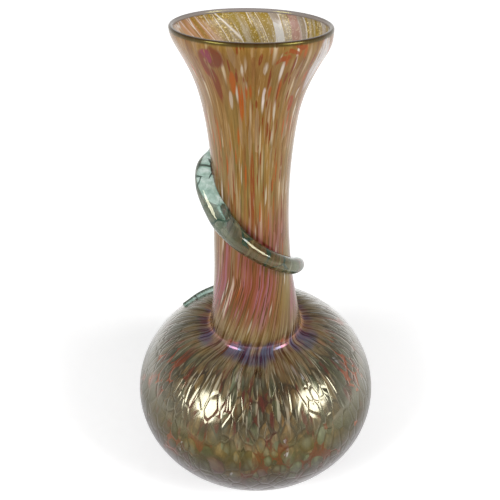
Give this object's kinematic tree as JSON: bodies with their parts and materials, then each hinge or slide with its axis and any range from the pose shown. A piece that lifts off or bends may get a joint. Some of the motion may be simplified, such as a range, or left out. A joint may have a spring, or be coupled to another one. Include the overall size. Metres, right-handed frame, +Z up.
{
  "type": "hand blown art glass vase",
  "caption": "Tall blown glass vase with a flared neck, a squat round bulb and a tapering glass trail wound round the neck",
  "frame": {"origin": "on the axis of the vase, in the plane that its base rests on", "axes": "+Z up along the neck, -Y towards the front, +X to the right"},
  "size_m": [0.1558, 0.1558, 0.28],
  "materials": {
    "clear_casing": "iridescent, with fused chips of colour under it",
    "fused_colour": "fused glass chips",
    "aventurine_lining": "glossy, with aventurine flecks",
    "trail_glass": "clear glass veined with green"
  },
  "bodies": {
    "root": {"outer_casing": "clear_casing", "colour_layer": "fused_colour", "inner_lining": "aventurine_lining", "trail": "trail_glass"}
  },
  "joints": []
}
